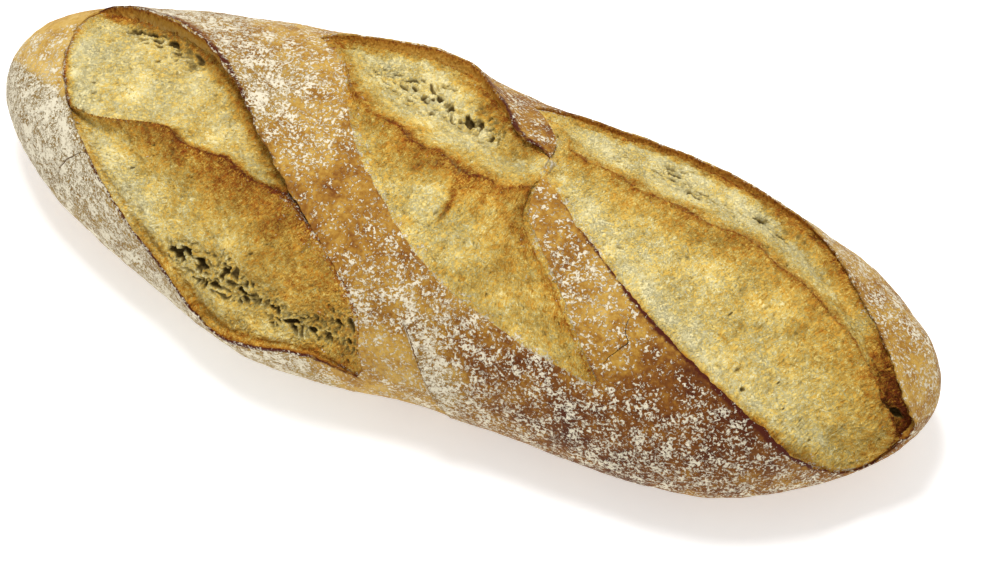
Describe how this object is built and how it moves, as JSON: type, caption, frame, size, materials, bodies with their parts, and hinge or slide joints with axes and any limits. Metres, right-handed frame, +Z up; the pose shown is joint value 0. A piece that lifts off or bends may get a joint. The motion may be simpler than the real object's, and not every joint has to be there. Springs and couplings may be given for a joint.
{
  "type": "country loaf",
  "caption": "Long oval hearth loaf with slanting slashes: floured brown crust, lifted crust edges and torn pale crumb swelling between them.",
  "frame": {"origin": "middle of the loaf's box, on the surface that it lies on", "axes": "+X along the loaf, +Z up, -Y towards the side that the slashes run down to from left to right"},
  "size_m": [0.3435, 0.1242, 0.083],
  "materials": {
    "crust": "baked golden-brown crust dusted with flour, matt and slightly rough",
    "crumb": "torn crumb, pale cream beside the crust edges and golden to brown on its crests, matt and fibrous"
  },
  "bodies": {
    "root": {"loaf": "crust"}
  },
  "joints": []
}
